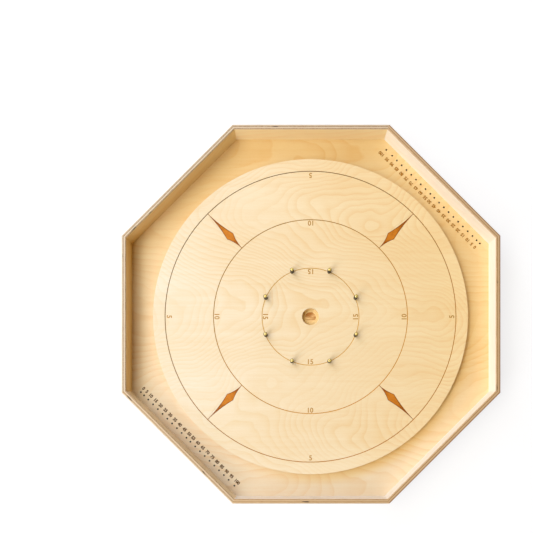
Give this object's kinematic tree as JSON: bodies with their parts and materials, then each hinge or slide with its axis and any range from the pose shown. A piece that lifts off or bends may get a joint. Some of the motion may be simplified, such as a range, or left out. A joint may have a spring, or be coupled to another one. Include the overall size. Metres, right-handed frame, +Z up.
{
  "type": "crokinole board",
  "caption": "Octagonal birch plywood crokinole board: raised round playing surface with engraved rings, centre hole and rubber-sleeved posts, railed ditch with scoring peg holes.",
  "frame": {"origin": "on the table, under the middle of the board, at the bottom of the feet", "axes": "+Z up out of the playing surface, +Y away from the player at the south rail, +X to that player's right"},
  "size_m": [0.7746, 0.7746, 0.0568],
  "materials": {
    "birch_surface": "clear satin lacquer over birch plywood, fine wavy grain",
    "birch_base": "clear satin lacquer over birch plywood, warmer than the playing surface",
    "birch_rail": "clear satin lacquer over birch plywood strip, plies showing on the top edge",
    "engraving": "wood browned by engraving",
    "brass": "polished brass",
    "sleeve_rubber": "smooth black rubber tube",
    "screw_steel": "bright zinc plate",
    "foot_rubber": "moulded dark grey rubber"
  },
  "bodies": {
    "root": {"base_panel": "birch_base", "playing_surface": "birch_surface", "rail_east": "birch_rail", "rail_northeast": "birch_rail", "rail_north": "birch_rail", "rail_northwest": "birch_rail", "rail_west": "birch_rail", "rail_southwest": "birch_rail", "rail_south": "birch_rail", "rail_southeast": "birch_rail", "post_sleeve_ene": "sleeve_rubber", "post_screw_ene": "brass", "post_sleeve_nne": "sleeve_rubber", "post_screw_nne": "brass", "post_sleeve_nnw": "sleeve_rubber", "post_screw_nnw": "brass", "post_sleeve_wnw": "sleeve_rubber", "post_screw_wnw": "brass", "post_sleeve_wsw": "sleeve_rubber", "post_screw_wsw": "brass", "post_sleeve_ssw": "sleeve_rubber", "post_screw_ssw": "brass", "post_sleeve_sse": "sleeve_rubber", "post_screw_sse": "brass", "post_sleeve_ese": "sleeve_rubber", "post_screw_ese": "brass", "foot_northeast": "foot_rubber", "foot_northwest": "foot_rubber", "foot_southwest": "foot_rubber", "foot_southeast": "foot_rubber", "surface_screws": "screw_steel", "foot_screws": "screw_steel", "rail_brads": "screw_steel"}
  },
  "joints": []
}
